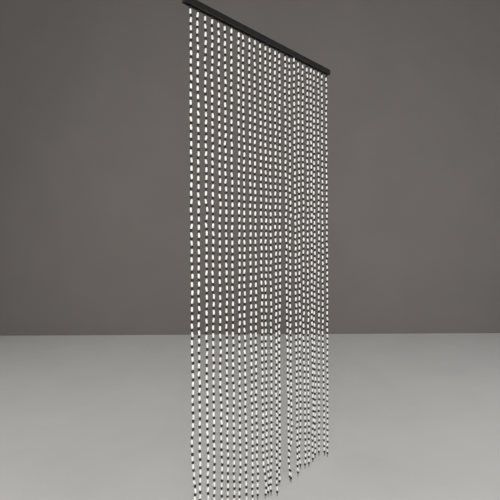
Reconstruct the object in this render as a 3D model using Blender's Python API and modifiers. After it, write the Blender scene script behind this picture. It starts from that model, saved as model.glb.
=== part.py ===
"""Bead curtain for a doorway: a black wooden headrail with 27 bead strings hanging from a slot in its underside.

Metres, +Z up. The origin is the middle of the headrail's flat top face, +X runs along the rail and +Y is the back,
the side turned away from the room. All the strings are one comb along their heading, with each string as a plain
tooth of the beads' diameter that hangs where its string hangs.
"""

import math

import bmesh
import bpy
from mathutils import Matrix, Vector

OBJECT_NAME = "bead_curtain"
MM = 0.001

# Headrail
RAIL_LENGTH = 0.900
RAIL_DEPTH = 0.020
RAIL_HEIGHT = 0.025
RAIL_EDGE = 0.0012  # softened edges of the batten
SLOT_WIDTH = 0.0050  # routed up into the underside
SLOT_DEPTH = 0.0080
SLOT_END = 0.012  # wood left at each end of the slot

# Heading strip that the strings are tied to, lying in the slot
HEADING_WIDTH = 0.0034
HEADING_HEIGHT = 0.0050
HEADING_TOP_GAP = 0.0005
HEADING_PAST_STRING = 0.010

# Strings
STRING_COUNT = 27
STRING_SPACING = 0.0323
BLACK_LENGTH = 0.0092
BLACK_RADIUS = 0.0051
WHITE_LENGTH = 0.0201
TAIL = 0.014  # knot and loop of thread below the last black bead
NECK_RADIUS = 0.0014
SHOULDER = 0.0018  # height over which the neck opens to a bead's radius
BARE_LEAST = 0.0005  # clear space between the rail and the first bead
FOOT_AT = 1.96  # the sideways drift below is reached this far down
FOOT_POWER = 1.6
WANDER_X, WANDER_Y = 0.0016, 0.0013
TOOTH_RINGS = 15
TOOTH_RESOLUTION = 1  # six sides

# One row a string, from the -X end. mm, except whites, which counts the oval beads.
#   hole: how far the string is tied from its even place
#   bare: thread showing under the rail
#   loose: play between the beads, added up over the string
#   foot_x, foot_y: how far the foot hangs to +X and to the back
COLUMNS = ("hole", "bare", "whites", "loose", "foot_x", "foot_y")
STRINGS = (
    (0.0, 0.5, 65, 12.0, 2, -1),
    (-1.0, 0.5, 65, 18.0, 0, 1),
    (1.5, 1.0, 65, 6.0, -1, -2),
    (0.5, 0.5, 66, 4.0, 1, 2),
    (1.0, 0.5, 65, 22.0, 1, 0),
    (-0.5, 1.5, 65, 9.0, 2, -1),
    (-1.0, 1.0, 64, 24.0, 2, -2),
    (6.0, 0.5, 65, 14.0, -3, 1),
    (-1.5, 1.5, 65, 20.0, 4, -3),
    (2.5, 0.5, 65, 16.0, 2, -2),
    (-1.0, 0.5, 64, 24.0, 2, -1),
    (0.5, 3.5, 65, 8.0, 4, -3),
    (0.5, 2.5, 65, 14.0, -4, 3),
    (-2.0, 1.5, 65, 24.0, -3, 2),
    (-2.0, 1.0, 66, 15.0, -1, 1),
    (-3.0, 4.5, 65, 6.0, -10, 6),
    (0.0, 5.0, 65, 4.5, 8, -7),
    (0.0, 2.0, 65, 28.0, 1, 1),
    (1.5, 0.5, 66, 0.5, 6, -5),
    (1.0, 1.5, 64, 28.0, 2, -1),
    (0.0, 3.0, 65, 7.5, 3, -2),
    (4.0, 6.0, 65, 16.5, 0, 1),
    (1.0, 2.0, 65, 11.5, 2, -2),
    (-6.0, 4.0, 64, 27.0, -3, 2),
    (-1.5, 2.5, 65, 3.0, -4, 3),
    (-2.0, 6.5, 65, 12.0, 1, -1),
    (4.5, 8.5, 66, 3.0, -2, 1),
)
STARTS_WHITE = (19,)  # strings whose first bead is an oval one

# Local bends: string, how far down (m), height over which it bends (m), then mm to +X and to the back
BEND_COLUMNS = ("string", "down", "over", "to_x", "to_y")
BENDS = (
    (1, 1.62, 0.060, -4, 1),
    (1, 1.77, 0.070, 5, -3),
    (8, 1.88, 0.060, -3, 2),
    (11, 1.84, 0.050, 4, -2),
    (12, 1.91, 0.075, 9, -8),
    (13, 1.91, 0.080, 9, -5),
    (18, 1.88, 0.070, -8, 8),
    (20, 1.87, 0.060, -6, 6),
    (23, 1.86, 0.060, -3, 2),
)


def clear_scene():
    for old in list(bpy.data.objects):
        bpy.data.objects.remove(old, do_unlink=True)
    for old in list(bpy.data.collections):
        bpy.data.collections.remove(old)


def new_collection(name, hidden=False):
    made = bpy.data.collections.new(name)
    made.hide_render = hidden
    bpy.context.scene.collection.children.link(made)
    return made


def material(name, colour, roughness, metallic=0.0):
    made = bpy.data.materials.new(name)
    made.use_nodes = True
    shader = made.node_tree.nodes["Principled BSDF"]
    shader.inputs["Base Color"].default_value = (*colour, 1.0)
    shader.inputs["Roughness"].default_value = roughness
    shader.inputs["Metallic"].default_value = metallic
    made.diffuse_color = (*colour, 1.0)
    return made


def box(name, size, centre, where):
    """A box with its scale in the mesh, so that Bevel widths hold."""
    mesh = bpy.data.meshes.new(name)
    bm = bmesh.new()
    bmesh.ops.create_cube(bm, size=1.0)
    bmesh.ops.scale(bm, vec=Vector(size), verts=bm.verts)
    bm.to_mesh(mesh)
    bm.free()
    made = bpy.data.objects.new(name, mesh)
    made.location = centre
    where.objects.link(made)
    return made


def boolean(target, operand, operation):
    modifier = target.modifiers.new(operation.title(), "BOOLEAN")
    modifier.operation = operation
    modifier.solver = "EXACT"
    modifier.object = operand
    return modifier


def part_of(value):
    return value - math.floor(value)


def row(index):
    return dict(zip(COLUMNS, STRINGS[index], strict=True))


def top_of_beads(index):
    return -(RAIL_HEIGHT + max(row(index)["bare"] * MM, BARE_LEAST))


def end_of_beads(index):
    """Underside of the last black bead."""
    own = row(index)
    blacks = own["whites"] + (0 if index + 1 in STARTS_WHITE else 1)
    beads = own["whites"] * WHITE_LENGTH + blacks * BLACK_LENGTH
    return top_of_beads(index) - beads - own["loose"] * MM


def string_at(index, z):
    """Where this string's thread is at height z: its place on the heading, the drift towards its foot, its bends and a slow wander."""
    own = row(index)
    share = max(0.0, (-z - RAIL_HEIGHT) / (FOOT_AT - RAIL_HEIGHT))
    x = (index - (STRING_COUNT - 1) / 2) * STRING_SPACING + own["hole"] * MM
    y = 0.0
    x += own["foot_x"] * MM * share**FOOT_POWER
    y += own["foot_y"] * MM * share**FOOT_POWER
    for values in BENDS:
        bend = dict(zip(BEND_COLUMNS, values, strict=True))
        if bend["string"] == index + 1:
            near = math.exp(-(((-z - bend["down"]) / bend["over"]) ** 2))
            x += bend["to_x"] * MM * near
            y += bend["to_y"] * MM * near
    start, turns = part_of(0.618 * index), 1.3 + 1.4 * part_of(0.381 * index)
    x += WANDER_X * share * math.sin(math.tau * (turns * share + start))
    y += WANDER_Y * share * math.cos(math.tau * (0.8 * turns * share + 2.3 * start))
    return Vector((x, y, z))


def tooth_heights(index):
    """Heights of a tooth's sections from the heading to its foot, closer together where the string bends."""
    top, foot = top_of_beads(index), end_of_beads(index) - TAIL
    heights = [-(RAIL_HEIGHT - SLOT_DEPTH) - HEADING_TOP_GAP - HEADING_HEIGHT / 2, top]
    start = top - SHOULDER
    for n in range(TOOTH_RINGS):
        heights.append(start + (foot + SHOULDER - start) * (n / (TOOTH_RINGS - 1)) ** 0.75)
    heights.append(foot)
    return heights


def comb_teeth(where):
    """All 27 teeth as one curve object with a radius at each section, turned into a mesh with welded caps."""
    curve = bpy.data.curves.new("teeth", "CURVE")
    curve.dimensions = "3D"
    curve.bevel_depth = 1.0
    curve.bevel_resolution = TOOTH_RESOLUTION
    curve.use_fill_caps = True
    for index in range(STRING_COUNT):
        heights = tooth_heights(index)
        spline = curve.splines.new("POLY")
        spline.points.add(len(heights) - 1)
        last = len(heights) - 1
        for n, z in enumerate(heights):
            spline.points[n].co = (*string_at(index, z), 1.0)
            spline.points[n].radius = (
                NECK_RADIUS if n < 2 else BLACK_RADIUS * 0.45 if n == last else BLACK_RADIUS
            )
    guide = bpy.data.objects.new("teeth_guide", curve)
    where.objects.link(guide)
    bpy.context.view_layer.update()
    graph = bpy.context.evaluated_depsgraph_get()
    mesh = bpy.data.meshes.new_from_object(guide.evaluated_get(graph))
    bm = bmesh.new()
    bm.from_mesh(mesh)
    bmesh.ops.remove_doubles(bm, verts=bm.verts, dist=0.00005)
    bmesh.ops.recalc_face_normals(bm, faces=bm.faces)
    bm.to_mesh(mesh)
    bm.free()
    made = bpy.data.objects.new("teeth", mesh)
    made.matrix_world = guide.matrix_world
    where.objects.link(made)
    bpy.data.objects.remove(guide, do_unlink=True)
    return made


def build_headrail(parts, helpers, paint):
    rail = box("headrail", (RAIL_LENGTH, RAIL_DEPTH, RAIL_HEIGHT), (0, 0, -RAIL_HEIGHT / 2), parts)
    edges = rail.modifiers.new("Edges", "BEVEL")
    edges.width = RAIL_EDGE
    edges.segments = 2
    edges.limit_method = "ANGLE"
    slot = box(
        "slot_cutter",
        (RAIL_LENGTH - 2 * SLOT_END, SLOT_WIDTH, SLOT_DEPTH + 0.010),
        (0, 0, -RAIL_HEIGHT + SLOT_DEPTH - (SLOT_DEPTH + 0.010) / 2),
        helpers,
    )
    slot.hide_render = True
    slot.display_type = "WIRE"
    boolean(rail, slot, "DIFFERENCE")
    rail.data.materials.append(paint)
    return rail


def build_comb(parts, helpers, finish):
    first, last = string_at(0, -RAIL_HEIGHT), string_at(STRING_COUNT - 1, -RAIL_HEIGHT)
    length = last.x - first.x + 2 * HEADING_PAST_STRING
    top = -(RAIL_HEIGHT - SLOT_DEPTH) - HEADING_TOP_GAP
    comb = box(
        "strand_comb",
        (length, HEADING_WIDTH, HEADING_HEIGHT),
        ((first.x + last.x) / 2, 0, top - HEADING_HEIGHT / 2),
        parts,
    )
    teeth = comb_teeth(helpers)
    teeth.hide_render = True
    teeth.display_type = "WIRE"
    boolean(comb, teeth, "UNION")
    comb.data.materials.append(finish)
    return comb


def shade(made):
    made.data.shade_smooth()
    made.data.set_sharp_from_angle(angle=math.radians(35))


def main():
    clear_scene()
    parts = new_collection(OBJECT_NAME)
    helpers = new_collection("helpers", hidden=True)
    black_paint = material("rail_black", (0.022, 0.022, 0.024), 0.42)
    bead_white = material("bead_white", (0.80, 0.78, 0.72), 0.30)
    rail = build_headrail(parts, helpers, black_paint)
    comb = build_comb(parts, helpers, bead_white)
    root = bpy.data.objects.new("curtain_root", None)
    root.matrix_world = Matrix.Identity(4)
    parts.objects.link(root)
    for made in (rail, comb):
        made.parent = root
    shade(comb)


main()
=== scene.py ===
import math

import bpy
import numpy as np
from mathutils import Matrix, Vector


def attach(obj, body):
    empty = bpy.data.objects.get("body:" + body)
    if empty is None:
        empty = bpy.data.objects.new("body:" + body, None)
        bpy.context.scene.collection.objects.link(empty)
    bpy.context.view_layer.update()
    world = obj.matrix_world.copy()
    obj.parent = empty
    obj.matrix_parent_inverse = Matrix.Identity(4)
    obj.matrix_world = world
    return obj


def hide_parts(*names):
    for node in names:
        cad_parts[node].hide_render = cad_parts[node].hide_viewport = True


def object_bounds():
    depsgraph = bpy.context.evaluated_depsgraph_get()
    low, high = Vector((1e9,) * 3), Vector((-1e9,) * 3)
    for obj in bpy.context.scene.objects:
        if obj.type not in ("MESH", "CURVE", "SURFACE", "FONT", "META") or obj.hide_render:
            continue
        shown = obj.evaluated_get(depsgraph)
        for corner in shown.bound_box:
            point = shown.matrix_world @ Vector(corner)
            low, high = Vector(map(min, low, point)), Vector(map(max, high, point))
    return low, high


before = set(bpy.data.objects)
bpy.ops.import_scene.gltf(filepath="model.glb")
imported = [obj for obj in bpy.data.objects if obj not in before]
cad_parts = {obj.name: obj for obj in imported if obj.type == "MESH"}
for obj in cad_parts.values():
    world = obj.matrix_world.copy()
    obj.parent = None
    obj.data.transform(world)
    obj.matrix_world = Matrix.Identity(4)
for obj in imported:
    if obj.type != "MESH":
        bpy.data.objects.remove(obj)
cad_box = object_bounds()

# Sizes of the curtain, in metres. The strings' places repeat the rules that the comb was built with.
MM = 0.001
RAIL_HEIGHT, SLOT_DEPTH = 0.025, 0.008
HEADING_WIDTH, HEADING_HEIGHT, HEADING_TOP_GAP, HEADING_PAST_STRING = 0.0034, 0.0050, 0.0005, 0.010
STRING_COUNT, STRING_SPACING = 27, 0.0323
BLACK_LENGTH, BLACK_RADIUS = 0.0103, 0.0051
WHITE_LENGTH, WHITE_RADIUS = 0.0190, 0.0043
BARE_LEAST, FOOT_AT, FOOT_POWER = 0.0005, 1.96, 1.6
WANDER_X, WANDER_Y = 0.0016, 0.0013
THREAD = 0.0012
BORE = 0.0012
LEAN = 0.00125  # how far a joint between two beads sits off the string's own line
SEED = 7

COLUMNS = ("hole", "bare", "whites", "loose", "foot_x", "foot_y")
STRINGS = (
    (0.0, 0.5, 65, 12.0, 2, -1),
    (-1.0, 0.5, 65, 18.0, 0, 1),
    (1.5, 1.0, 65, 6.0, -1, -2),
    (0.5, 0.5, 66, 4.0, 1, 2),
    (1.0, 0.5, 65, 22.0, 1, 0),
    (-0.5, 1.5, 65, 9.0, 2, -1),
    (-1.0, 1.0, 64, 24.0, 2, -2),
    (6.0, 0.5, 65, 14.0, -3, 1),
    (-1.5, 1.5, 65, 20.0, 4, -3),
    (2.5, 0.5, 65, 16.0, 2, -2),
    (-1.0, 0.5, 64, 24.0, 2, -1),
    (0.5, 3.5, 65, 8.0, 4, -3),
    (0.5, 2.5, 65, 14.0, -4, 3),
    (-2.0, 1.5, 65, 24.0, -3, 2),
    (-2.0, 1.0, 66, 15.0, -1, 1),
    (-3.0, 4.5, 65, 6.0, -10, 6),
    (0.0, 5.0, 65, 4.5, 8, -7),
    (0.0, 2.0, 65, 28.0, 1, 1),
    (1.5, 0.5, 66, 0.5, 6, -5),
    (1.0, 1.5, 64, 28.0, 2, -1),
    (0.0, 3.0, 65, 7.5, 3, -2),
    (4.0, 6.0, 65, 16.5, 0, 1),
    (1.0, 2.0, 65, 11.5, 2, -2),
    (-6.0, 4.0, 64, 27.0, -3, 2),
    (-1.5, 2.5, 65, 3.0, -4, 3),
    (-2.0, 6.5, 65, 12.0, 1, -1),
    (4.5, 8.5, 66, 3.0, -2, 1),
)
STARTS_WHITE = (19,)
BEND_COLUMNS = ("string", "down", "over", "to_x", "to_y")
BENDS = (
    (1, 1.62, 0.060, -4, 1),
    (1, 1.77, 0.070, 5, -3),
    (8, 1.88, 0.060, -3, 2),
    (11, 1.84, 0.050, 4, -2),
    (12, 1.91, 0.075, 9, -8),
    (13, 1.91, 0.080, 9, -5),
    (18, 1.88, 0.070, -8, 8),
    (20, 1.87, 0.060, -6, 6),
    (23, 1.86, 0.060, -3, 2),
)


def part_of(value):
    return value - math.floor(value)


def row(index):
    return dict(zip(COLUMNS, STRINGS[index], strict=True))


def top_of_beads(index):
    return -(RAIL_HEIGHT + max(row(index)["bare"] * MM, BARE_LEAST))


def string_at(index, z):
    own = row(index)
    share = max(0.0, (-z - RAIL_HEIGHT) / (FOOT_AT - RAIL_HEIGHT))
    x = (index - (STRING_COUNT - 1) / 2) * STRING_SPACING + own["hole"] * MM
    y = 0.0
    x += own["foot_x"] * MM * share**FOOT_POWER
    y += own["foot_y"] * MM * share**FOOT_POWER
    for values in BENDS:
        bend = dict(zip(BEND_COLUMNS, values, strict=True))
        if bend["string"] == index + 1:
            near = math.exp(-(((-z - bend["down"]) / bend["over"]) ** 2))
            x += bend["to_x"] * MM * near
            y += bend["to_y"] * MM * near
    start, turns = part_of(0.618 * index), 1.3 + 1.4 * part_of(0.381 * index)
    x += WANDER_X * share * math.sin(math.tau * (turns * share + start))
    y += WANDER_Y * share * math.cos(math.tau * (0.8 * turns * share + 2.3 * start))
    return np.array((x, y, z))


# ---------------------------------------------------------------- camera
def make_camera():
    """The photograph's view: level, 44 degrees round to the left, with a slight roll."""
    heading, roll = math.radians(44.364), math.radians(0.302)
    right = Vector((math.cos(heading), -math.sin(heading), 0))
    ahead = Vector((math.sin(heading), math.cos(heading), 0))
    turn = Matrix((right, Vector((0, 0, 1)), -ahead)).transposed().to_4x4()
    data = bpy.data.cameras.new("camera")
    data.lens, data.sensor_width = 26.845, 36.0
    data.shift_y = -0.0405
    data.clip_start, data.clip_end = 0.05, 60
    camera = bpy.data.objects.new("camera", data)
    camera.matrix_world = Matrix.Translation((-1.1996, -1.095, -0.8247)) @ turn @ Matrix.Rotation(-roll, 4, "Z")
    bpy.context.scene.collection.objects.link(camera)
    bpy.context.scene.camera = camera


# ---------------------------------------------------------------- beads
def thread_beads(index, rng):
    """The beads of one string from the rail down: joints between beads, and each bead's kind and length."""
    own = row(index)
    white = index + 1 in STARTS_WHITE
    blacks = own["whites"] + (0 if white else 1)
    kinds = [(white if n % 2 == 0 else not white) for n in range(own["whites"] + blacks)]
    lengths = np.array([WHITE_LENGTH if k else BLACK_LENGTH for k in kinds])
    varied = lengths * (1 + rng.normal(0, 0.012, len(lengths)).clip(-0.03, 0.03))
    varied *= lengths.sum() / varied.sum()
    play = rng.exponential(1.0, len(lengths) - 1)
    play = np.append(0.0, play / play.sum() * own["loose"] * MM)
    down = top_of_beads(index) - np.append(0.0, np.cumsum(varied + play))
    joints = np.array([string_at(index, z) for z in down])
    lean = np.zeros(2)
    for n in range(1, len(joints)):
        lean = 0.30 * lean + rng.normal(0, LEAN, 2).clip(-2.1 * LEAN, 2.1 * LEAN)
        joints[n, :2] += lean
    return kinds, varied, joints


def profile(length, radius, end, steps, power):
    """A turned bead with a bore, as (radius, height) rings that run down the outside and back up the bore."""
    half = length / 2
    turns = np.linspace(math.pi / 2, -math.pi / 2, steps)
    heights = np.sin(turns)
    outer = [(end + (radius - end) * (1 - abs(t) ** power) ** 0.5, t * half) for t in heights]
    lip = 0.00022
    return np.array([*outer, (BORE, -half + lip), (BORE, half - lip)])


SEGMENTS = 12
WHITE_PROFILE = profile(WHITE_LENGTH, WHITE_RADIUS, 0.0019, 9, 2.35)
BLACK_PROFILE = profile(BLACK_LENGTH, BLACK_RADIUS, 0.0021, 7, 2.10)


def bead_mesh(name, shape, placed):
    """One joined mesh of turned beads. placed holds (centre, axis, length share, radius share, turn, tone, seed) for each."""
    rings, count = len(shape), len(placed)
    angles = np.arange(SEGMENTS) * math.tau / SEGMENTS
    ring = np.stack([np.cos(angles), np.sin(angles)], 1)
    points = np.empty((rings, SEGMENTS, 3))
    points[:, :, :2] = shape[:, None, :1] * ring[None]
    points[:, :, 2] = shape[:, None, 1]
    points = points.reshape(-1, 3)
    each = len(points)
    co = np.empty((count, each, 3))
    local = np.empty((count, each, 3))
    tones = np.empty((count, each))
    for n, (centre, axis, long, wide, turn, tone, seed) in enumerate(placed):
        z = np.array(axis) / np.linalg.norm(axis)
        x = np.cross((0.0, 1.0, 0.0), z)
        x /= np.linalg.norm(x)
        y = np.cross(z, x)
        c, s = math.cos(turn), math.sin(turn)
        basis = np.stack([c * x + s * y, -s * x + c * y, z])
        sized = points * (wide, wide, long)
        co[n] = sized @ basis + centre
        local[n] = points + (seed, 0.37 * seed, 0)
        tones[n] = tone
    a = np.arange(rings)[:, None] * SEGMENTS
    b = ((np.arange(rings) + 1) % rings)[:, None] * SEGMENTS
    i = np.arange(SEGMENTS)[None]
    j = (i + 1) % SEGMENTS
    quads = np.stack([a + i, b + i, b + j, a + j], 2).reshape(-1, 4)
    faces = (quads[None] + np.arange(count)[:, None, None] * each).reshape(-1, 4)
    mesh = bpy.data.meshes.new(name)
    mesh.vertices.add(count * each)
    mesh.vertices.foreach_set("co", co.astype(np.float32).ravel())
    mesh.loops.add(faces.size)
    mesh.loops.foreach_set("vertex_index", faces.astype(np.int32).ravel())
    mesh.polygons.add(len(faces))
    mesh.polygons.foreach_set("loop_start", np.arange(0, faces.size, 4, dtype=np.int32))
    mesh.polygons.foreach_set("loop_total", np.full(len(faces), 4, np.int32))
    mesh.update(calc_edges=True)
    mesh.polygons.foreach_set("use_smooth", np.ones(len(faces), bool))
    made = mesh.attributes.new("bead_local", "FLOAT_VECTOR", "POINT")
    made.data.foreach_set("vector", local.astype(np.float32).ravel())
    made = mesh.attributes.new("bead_tone", "FLOAT", "POINT")
    made.data.foreach_set("value", tones.astype(np.float32).ravel())
    # a tile of the map for each bead: round it and down its outside, with the bore in the last strip
    across = math.ceil(math.sqrt(count))
    tall = math.ceil(count / across)
    step = np.append(0, np.cumsum(np.linalg.norm(np.diff(np.vstack([shape, shape[:1]]), axis=0), axis=1)))
    step = step / step[-1]
    u = np.stack([i + 0 * a, i + 0 * a, i + 1 + 0 * a, i + 1 + 0 * a], 2) / SEGMENTS
    k = np.arange(rings)
    v = np.stack([step[k], step[k + 1], step[k + 1], step[k]], 1)[:, None, :] + 0 * u
    tile = np.stack([0.06 + 0.88 * u, 0.06 + 0.88 * (1 - v)], 3).reshape(-1, 2)
    corner = np.stack([np.arange(count) % across, np.arange(count) // across], 1)
    uv = (tile[None] + corner[:, None]) / (across, tall)
    layer = mesh.uv_layers.new(name="OFBake")
    layer.data.foreach_set("uv", uv.astype(np.float32).ravel())
    mesh.validate()
    made = bpy.data.objects.new(name, mesh)
    bpy.context.scene.collection.objects.link(made)
    return made


def tube_rings(path, radius, sides, closed=False):
    """Points and quads of a tube along a path."""
    path = np.array(path, float)
    n = len(path)
    ahead = np.roll(path, -1, 0) - np.roll(path, 1, 0)
    if not closed:
        ahead[0], ahead[-1] = path[1] - path[0], path[-1] - path[-2]
    ahead /= np.linalg.norm(ahead, axis=1)[:, None]
    side = np.cross(ahead[0], (0.31, 0.87, 0.38))
    co = np.empty((n, sides, 3))
    angles = np.arange(sides) * math.tau / sides
    for k in range(n):
        side = side - ahead[k] * (side @ ahead[k])
        side /= np.linalg.norm(side)
        up = np.cross(ahead[k], side)
        thick = radius[k] if hasattr(radius, "__len__") else radius
        co[k] = path[k] + thick * (np.cos(angles)[:, None] * side + np.sin(angles)[:, None] * up)
    faces = []
    for k in range(n if closed else n - 1):
        a, b = k * sides, ((k + 1) % n) * sides
        for s in range(sides):
            t = (s + 1) % sides
            faces.append((a + s, a + t, b + t, b + s))
    if not closed:
        faces.append(tuple(range(sides - 1, -1, -1)))
        faces.append(tuple((n - 1) * sides + s for s in range(sides)))
    return co.reshape(-1, 3), faces


def joined(name, shapes):
    points, faces, base = [], [], 0
    for co, quads in shapes:
        points.extend(map(tuple, co))
        faces.extend(tuple(v + base for v in face) for face in quads)
        base += len(co)
    mesh = bpy.data.meshes.new(name)
    mesh.from_pydata(points, [], faces)
    mesh.polygons.foreach_set("use_smooth", np.ones(len(mesh.polygons), bool))
    mesh.update()
    made = bpy.data.objects.new(name, mesh)
    bpy.context.scene.collection.objects.link(made)
    return made


# ---------------------------------------------------------------- materials
class Nodes:
    """A material with short calls for its nodes."""

    def __init__(self, name):
        self.material = bpy.data.materials.new(name)
        self.material.use_nodes = True
        self.tree = self.material.node_tree
        self.shader = self.tree.nodes["Principled BSDF"]

    def node(self, kind, **values):
        made = self.tree.nodes.new(kind)
        for key, value in values.items():
            if key[0].isupper():
                made.inputs[key.replace("_", " ")].default_value = value
            else:
                setattr(made, key, value)
        return made

    def link(self, a, b):
        self.tree.links.new(a, b)

    def attribute(self, name, output="Vector"):
        return self.node("ShaderNodeAttribute", attribute_name=name).outputs[output]

    def stretched(self, vector, scale):
        made = self.node("ShaderNodeMapping")
        made.inputs["Scale"].default_value = scale
        self.link(vector, made.inputs["Vector"])
        return made.outputs["Vector"]

    def noise(self, vector, scale, detail=4.0, roughness=0.55):
        made = self.node("ShaderNodeTexNoise", Scale=scale, Detail=detail, Roughness=roughness)
        self.link(vector, made.inputs["Vector"])
        return made.outputs["Fac"]

    def ramp(self, factor, stops):
        made = self.node("ShaderNodeValToRGB")
        ends = made.color_ramp.elements
        while len(ends) < len(stops):
            ends.new(0.5)
        for element, (place, colour) in zip(ends, stops, strict=True):
            element.position = place
            element.color = (*colour, 1) if hasattr(colour, "__len__") else (colour, colour, colour, 1)
        self.link(factor, made.inputs["Fac"])
        return made.outputs["Color"]

    def mix(self, factor, a, b, blend="MIX"):
        made = self.node("ShaderNodeMix", data_type="RGBA", blend_type=blend)
        for value, place in ((factor, made.inputs[0]), (a, made.inputs[6]), (b, made.inputs[7])):
            if hasattr(value, "is_output"):
                self.link(value, place)
            else:
                place.default_value = (*value, 1) if hasattr(value, "__len__") else value
        return made.outputs[2]

    def math(self, operation, *values):
        made = self.node("ShaderNodeMath", operation=operation)
        for n, value in enumerate(values):
            if hasattr(value, "is_output"):
                self.link(value, made.inputs[n])
            else:
                made.inputs[n].default_value = value
        return made.outputs[0]

    def bump(self, height, strength, distance):
        made = self.node("ShaderNodeBump", Strength=strength, Distance=distance)
        self.link(height, made.inputs["Height"])
        self.link(made.outputs["Normal"], self.shader.inputs["Normal"])

    def set(self, **values):
        for key, value in values.items():
            place = self.shader.inputs[key.replace("_", " ")]
            place.default_value = (*value, 1) if hasattr(value, "__len__") else value


def bead_material(name, light):
    """Lacquered turned wood: faint grain along the bead, a tone of its own for each bead, and a darker rim at the bore.
    """
    m = Nodes(name)
    local, tone = m.attribute("bead_local"), m.attribute("bead_tone", "Fac")
    grain = m.noise(m.stretched(local, (1, 1, 0.10)), 900.0, 5.0, 0.6)
    blotch = m.noise(local, 190.0, 3.0)
    parts = m.node("ShaderNodeSeparateXYZ")
    m.link(local, parts.inputs[0])
    along = m.math("ABSOLUTE", parts.outputs["Z"])
    half = (WHITE_LENGTH if light else BLACK_LENGTH) / 2
    rim = m.math("SMOOTH_MIN", m.math("MAXIMUM", m.math("DIVIDE", m.math("SUBTRACT", along, half * 0.84), half * 0.16), 0.0), 1.0, 0.1)
    if light:
        plain = (0.80, 0.785, 0.735)
        base = m.ramp(tone, ((0.0, (0.72, 0.725, 0.72)), (0.35, (0.80, 0.80, 0.785)), (0.7, (0.86, 0.85, 0.82)), (1.0, (0.80, 0.78, 0.735))))
        base = m.mix(m.ramp(grain, ((0.42, 0.0), (0.68, 0.30))), base, (0.60, 0.55, 0.46))
        base = m.mix(m.ramp(blotch, ((0.52, 0.0), (0.75, 0.25))), base, (0.66, 0.63, 0.56))
        base = m.mix(m.math("MULTIPLY", rim, 0.50), base, (0.34, 0.29, 0.22))
        rough = m.ramp(blotch, ((0.3, 0.24), (0.7, 0.38)))
        m.set(Coat_Weight=0.35, Coat_Roughness=0.12, Subsurface_Weight=0.04, Subsurface_Scale=0.002)
    else:
        plain = (0.006, 0.006, 0.006)
        base = m.ramp(tone, ((0.0, (0.004, 0.004, 0.0045)), (0.6, (0.006, 0.006, 0.006)), (1.0, (0.011, 0.009, 0.008))))
        base = m.mix(m.ramp(grain, ((0.50, 0.0), (0.72, 0.35))), base, (0.017, 0.014, 0.012))
        base = m.mix(m.math("MULTIPLY", rim, 0.30), base, (0.035, 0.023, 0.015))
        rough = m.ramp(blotch, ((0.3, 0.20), (0.7, 0.34)))
        m.set(Coat_Weight=0.10, Coat_Roughness=0.08, Specular_IOR_Level=0.32)
    m.set(Base_Color=plain, Roughness=0.30)
    m.link(base, m.shader.inputs["Base Color"])
    m.link(rough, m.shader.inputs["Roughness"])
    m.bump(m.math("ADD", m.math("MULTIPLY", grain, 0.6), m.math("MULTIPLY", blotch, 0.8)), 0.35, 0.00022)
    return m.material


def thread_material():
    """Twisted black thread, with its turns as slanting ridges."""
    m = Nodes("black_thread")
    place = m.node("ShaderNodeTexCoord").outputs["Object"]
    fibre = m.noise(m.stretched(place, (1, 1, 0.3)), 2600.0, 3.0)
    twist = m.node("ShaderNodeTexWave", Scale=520.0, Distortion=2.0)
    twist.bands_direction = "DIAGONAL"
    m.link(place, twist.inputs["Vector"])
    m.set(Base_Color=(0.022, 0.021, 0.021), Roughness=0.78, Sheen_Weight=0.25, Sheen_Roughness=0.4)
    m.link(m.ramp(fibre, ((0.3, (0.014, 0.014, 0.014)), (0.75, (0.040, 0.038, 0.037)))), m.shader.inputs["Base Color"])
    m.link(m.ramp(fibre, ((0.3, 0.66), (0.7, 0.88))), m.shader.inputs["Roughness"])
    m.bump(m.math("ADD", twist.outputs["Fac"], fibre), 0.6, 0.00015)
    return m.material


def rail_material():
    """Satin black paint on a wooden batten: long grain under the paint, a little dust, edges rubbed paler."""
    m = Nodes("rail_paint")
    place = m.node("ShaderNodeTexCoord").outputs["Object"]
    grain = m.noise(m.stretched(place, (0.05, 1, 1)), 620.0, 6.0, 0.62)
    broad = m.noise(m.stretched(place, (0.12, 1, 1)), 75.0, 3.0)
    cloud = m.noise(place, 26.0, 4.0)
    parts = m.node("ShaderNodeSeparateXYZ")
    m.link(place, parts.inputs[0])
    deep = m.math("DIVIDE", m.math("ABSOLUTE", parts.outputs["Y"]), 0.010)
    tall = m.math("DIVIDE", m.math("ABSOLUTE", m.math("ADD", parts.outputs["Z"], RAIL_HEIGHT / 2)), RAIL_HEIGHT / 2)
    edge = m.math("MULTIPLY", m.math("POWER", deep, 10.0), m.math("POWER", tall, 14.0))
    worn = m.math("MULTIPLY", m.math("MULTIPLY", edge, m.math("POWER", cloud, 1.5)), 1.5)
    base = m.ramp(grain, ((0.32, (0.005, 0.005, 0.0055)), (0.72, (0.013, 0.0125, 0.0125))))
    base = m.mix(m.ramp(cloud, ((0.45, 0.0), (0.78, 0.45))), base, (0.022, 0.021, 0.020))
    base = m.mix(m.math("MINIMUM", worn, 0.8), base, (0.085, 0.060, 0.040))
    m.set(Base_Color=(0.009, 0.009, 0.0095), Roughness=0.42, Specular_IOR_Level=0.22)
    m.link(base, m.shader.inputs["Base Color"])
    m.link(m.ramp(broad, ((0.3, 0.34), (0.7, 0.52))), m.shader.inputs["Roughness"])
    m.bump(m.math("ADD", grain, m.math("MULTIPLY", broad, 0.8)), 0.5, 0.0005)
    return m.material


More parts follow.
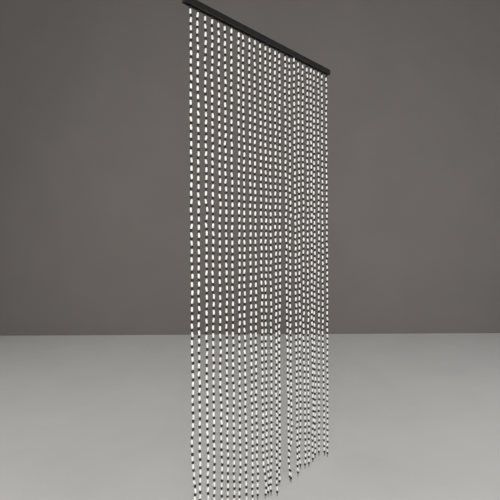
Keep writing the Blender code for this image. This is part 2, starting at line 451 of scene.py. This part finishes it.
def tape_material():
    """Black woven heading tape."""
    m = Nodes("heading_weave")
    place = m.node("ShaderNodeTexCoord").outputs["Object"]
    warp = m.node("ShaderNodeTexWave", Scale=900.0, Distortion=0.4)
    warp.bands_direction = "X"
    weft = m.node("ShaderNodeTexWave", Scale=900.0, Distortion=0.4)
    weft.bands_direction = "Z"
    for wave in (warp, weft):
        m.link(place, wave.inputs["Vector"])
    fibre = m.noise(place, 1500.0, 3.0)
    m.set(Base_Color=(0.024, 0.024, 0.025), Roughness=0.85)
    m.link(m.ramp(fibre, ((0.3, (0.016, 0.016, 0.017)), (0.75, (0.042, 0.041, 0.040)))), m.shader.inputs["Base Color"])
    m.bump(m.math("MAXIMUM", warp.outputs["Fac"], weft.outputs["Fac"]), 0.5, 0.0002)
    return m.material


# ---------------------------------------------------------------- building
def build_curtain():
    thread_look = thread_material()
    looks = {True: bead_material("white_lacquer", True), False: bead_material("black_lacquer", False)}
    beads = {(kind, group): [] for kind in (True, False) for group in range(3)}
    knots, wraps, made = [], [], []
    tape_bottom = -(RAIL_HEIGHT - SLOT_DEPTH) - HEADING_TOP_GAP - HEADING_HEIGHT
    for index in range(STRING_COUNT):
        rng = np.random.default_rng(SEED * 1000 + index)
        kinds, lengths, joints = thread_beads(index, rng)
        for n, kind in enumerate(kinds):
            low, high = joints[n + 1], joints[n]
            axis = (high - low) / np.linalg.norm(high - low)
            slack = rng.normal(0, 0.038 if kind else 0.030, 2)
            axis = axis * (1, 1, 1) if kind else axis * (0.55, 0.55, 1)
            axis = axis + np.array((slack[0], slack[1], 0.0))
            tall = (WHITE_LENGTH if kind else BLACK_LENGTH)
            middle = high - (high - low) / np.linalg.norm(high - low) * lengths[n] / 2
            beads[kind, index // 9].append(
                (middle, axis, lengths[n] / tall, 1 + float(np.clip(rng.normal(0, 0.022), -0.05, 0.05)), float(rng.uniform(0, math.tau)), float(rng.uniform(0, 1)), float(rng.uniform(0, 5)))
            )
        first = string_at(index, -RAIL_HEIGHT)
        foot = joints[-1]
        path = [np.array((first[0], 0.0, tape_bottom - THREAD / 2)), np.array((first[0], 0.0, -RAIL_HEIGHT))]
        path += list(joints[:-1]) + [foot, foot + np.array((0, 0, -0.0022))]
        if np.linalg.norm(path[2] - path[1]) < 1e-4:
            del path[1]
        curve = bpy.data.curves.new(f"thread_{index + 1:02d}", "CURVE")
        curve.dimensions = "3D"
        curve.bevel_depth, curve.bevel_resolution, curve.use_fill_caps = THREAD / 2, 1, True
        line = curve.splines.new("POLY")
        line.points.add(len(path) - 1)
        for point, place in zip(line.points, path, strict=True):
            point.co = (*place, 1)
        thread = bpy.data.objects.new(curve.name, curve)
        bpy.context.scene.collection.objects.link(thread)
        curve.materials.append(thread_look)
        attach(thread, "root")
        made.append(thread)
        # the foot: a tied lump under the last bead, a small loop of thread and one cut end
        turn = float(rng.uniform(0, math.tau))
        c, s = math.cos(turn), math.sin(turn)
        t = np.linspace(0, math.tau, 60, endpoint=False)
        lump = np.stack([np.sin(t) + 2 * np.sin(2 * t), np.cos(t) - 2 * np.cos(2 * t), -np.sin(3 * t)], 1) * (0.00082, 0.00072, 0.00105)
        lump = lump[:, [0, 2, 1]] @ np.array(((c, s, 0), (-s, c, 0), (0, 0, 1)))
        knots.append(tube_rings(lump + foot + (0, 0, -0.0026), THREAD * 0.55, 8, closed=True))
        size = 1 + float(rng.normal(0, 0.12))
        t = np.linspace(0, math.tau, 40)
        loop = np.stack([0.0028 * size * np.sin(t) * np.sin(t / 2) ** 1.2, 0.0007 * np.sin(t), -0.0055 * size * (1 - np.cos(t))], 1)
        loop = loop @ np.array(((c, s, 0), (-s, c, 0), (0, 0, 1)))
        knots.append(tube_rings(loop + foot + (0, 0, -0.0032), THREAD / 2, 8))
        t = np.linspace(0, 1, 10)
        bend = float(rng.uniform(0.001, 0.0025))
        tail = np.stack([0.001 + bend * t, 0.0012 * np.sin(3 * t), -0.007 * t - 0.001], 1) @ np.array(((-s, c, 0), (-c, -s, 0), (0, 0, 1)))
        knots.append(tube_rings(tail + foot + (0, 0, -0.0026), THREAD * 0.45 * (1 + 0.5 * t**4), 8))
        # the hitch on the tape
        t = np.linspace(0, math.tau * 2.0, 48)
        wrap = np.stack([first[0] + 0.0007 * (t / math.tau - 1.0), (HEADING_WIDTH / 2 + 0.0004) * np.cos(t), tape_bottom + HEADING_HEIGHT / 2 + (HEADING_HEIGHT / 2 + 0.0001) * np.sin(t)], 1)
        wraps.append(tube_rings(wrap, 0.00040, 6))
    for (kind, group), placed in beads.items():
        piece = bead_mesh(f"beads_{'white' if kind else 'black'}_{group + 1}", WHITE_PROFILE if kind else BLACK_PROFILE, placed)
        piece.data.materials.append(looks[kind])
        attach(piece, "root")
        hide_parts("strand_comb")
    feet = joined("foot_knots", knots)
    hitches = joined("heading_hitches", wraps)
    first, last = string_at(0, -RAIL_HEIGHT)[0] - HEADING_PAST_STRING, string_at(STRING_COUNT - 1, -RAIL_HEIGHT)[0] + HEADING_PAST_STRING
    shapes, steps = [], 240
    path = [(first + (last - first) * n / steps, 0.00012 * math.sin(n * 0.7), tape_bottom + HEADING_HEIGHT / 2) for n in range(steps + 1)]
    co, faces = [], []
    outline = [(0.5, -0.42), (0.5, 0.42), (0.40, 0.5), (-0.40, 0.5), (-0.5, 0.42), (-0.5, -0.42), (-0.40, -0.5), (0.40, -0.5)]
    for x, y, z in path:
        co.extend((x, y + a * (HEADING_WIDTH - 0.0006), z + b * (HEADING_HEIGHT - 0.0006)) for a, b in outline)
    for n in range(steps):
        for k in range(8):
            a, b = n * 8, (n + 1) * 8
            faces.append((a + k, a + (k + 1) % 8, b + (k + 1) % 8, b + k))
    faces.append(tuple(range(7, -1, -1)))
    faces.append(tuple(steps * 8 + k for k in range(8)))
    shapes.append((np.array(co), faces))
    tape = joined("heading_tape", shapes)
    for piece, look in ((feet, thread_look), (hitches, thread_look), (tape, tape_material())):
        piece.data.materials.append(look)
        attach(piece, "root")
        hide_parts("strand_comb")
    for piece in (feet, hitches, tape):  # outward faces, whichever way each tube was wound
        import bmesh

        bm = bmesh.new()
        bm.from_mesh(piece.data)
        bmesh.ops.recalc_face_normals(bm, faces=bm.faces)
        bm.to_mesh(piece.data)
        bm.free()


def dress_rail():
    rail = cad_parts["headrail"]
    look = rail_material()
    if rail.data.materials:
        for place in rail.material_slots:
            place.material = look
    else:
        rail.data.materials.append(look)


# ---------------------------------------------------------------- stage
def stage_material(name, colour, roughness):
    m = Nodes(name)
    place = m.node("ShaderNodeTexCoord").outputs["Object"]
    soft = m.noise(place, 2.2, 3.0)
    darker = tuple(0.94 * c for c in colour)
    m.set(Base_Color=colour, Roughness=roughness)
    m.shader.inputs["Specular IOR Level"].default_value = 0.2
    m.link(m.ramp(soft, ((0.3, darker), (0.7, colour))), m.shader.inputs["Base Color"])
    clear = m.node("ShaderNodeBsdfTransparent")
    pick = m.node("ShaderNodeMixShader")
    m.link(m.node("ShaderNodeNewGeometry").outputs["Backfacing"], pick.inputs[0])
    m.link(m.shader.outputs[0], pick.inputs[1])
    m.link(clear.outputs[0], pick.inputs[2])
    m.link(pick.outputs[0], m.tree.nodes["Material Output"].inputs["Surface"])
    return m.material


def plane(name, corners, look):
    mesh = bpy.data.meshes.new(name)
    mesh.from_pydata(corners, [], [tuple(range(len(corners)))])
    made = bpy.data.objects.new(name, mesh)
    made.data.materials.append(look)
    bpy.context.scene.collection.objects.link(made)
    return made


def build_stage():
    floor_z = cad_box[0].z - 0.012
    plane("stage_floor", [(-9, -9, floor_z), (9, -9, floor_z), (9, 9, floor_z), (-9, 9, floor_z)], stage_material("pale_floor", (0.82, 0.80, 0.77), 0.6))
    backdrop = stage_material("backdrop", (0.20, 0.183, 0.170), 0.85)
    heading = math.radians(44.364)
    ahead, right = (math.sin(heading), math.cos(heading)), (math.cos(heading), -math.sin(heading))
    far = 2.6
    points = [(ahead[0] * far + right[0] * s, ahead[1] * far + right[1] * s, z) for s, z in ((-7, floor_z), (7, floor_z), (7, 5), (-7, 5))]
    plane("stage_backdrop", points, backdrop)
    for name, place, size, power, tint in (
        ("key", (-2.7, -2.7, -0.45), 2.2, 118, (1.0, 0.985, 0.96)),
        ("fill", (1.6, -3.0, -0.5), 2.4, 42, (0.95, 0.975, 1.0)),
        ("back", (-2.0, 1.9, 0.3), 1.6, 16, (1.0, 1.0, 1.0)),
    ):
        light = bpy.data.lights.new(name, "AREA")
        light.shape, light.size, light.energy, light.color = "SQUARE", size, power, tint
        lamp = bpy.data.objects.new(name, light)
        lamp.location = place
        lamp.rotation_mode = "QUATERNION"
        lamp.rotation_quaternion = (Vector((0, 0, -1.0)) - Vector(place)).to_track_quat("-Z", "Y")
        bpy.context.scene.collection.objects.link(lamp)
    world = bpy.data.worlds.new("soft_light")
    world.use_nodes = True
    world.node_tree.nodes["Background"].inputs["Color"].default_value = (0.80, 0.81, 0.83, 1)
    world.node_tree.nodes["Background"].inputs["Strength"].default_value = 0.30
    bpy.context.scene.world = world
    bpy.context.scene.view_settings.view_transform = "Standard"


make_camera()
build_curtain()
dress_rail()
build_stage()
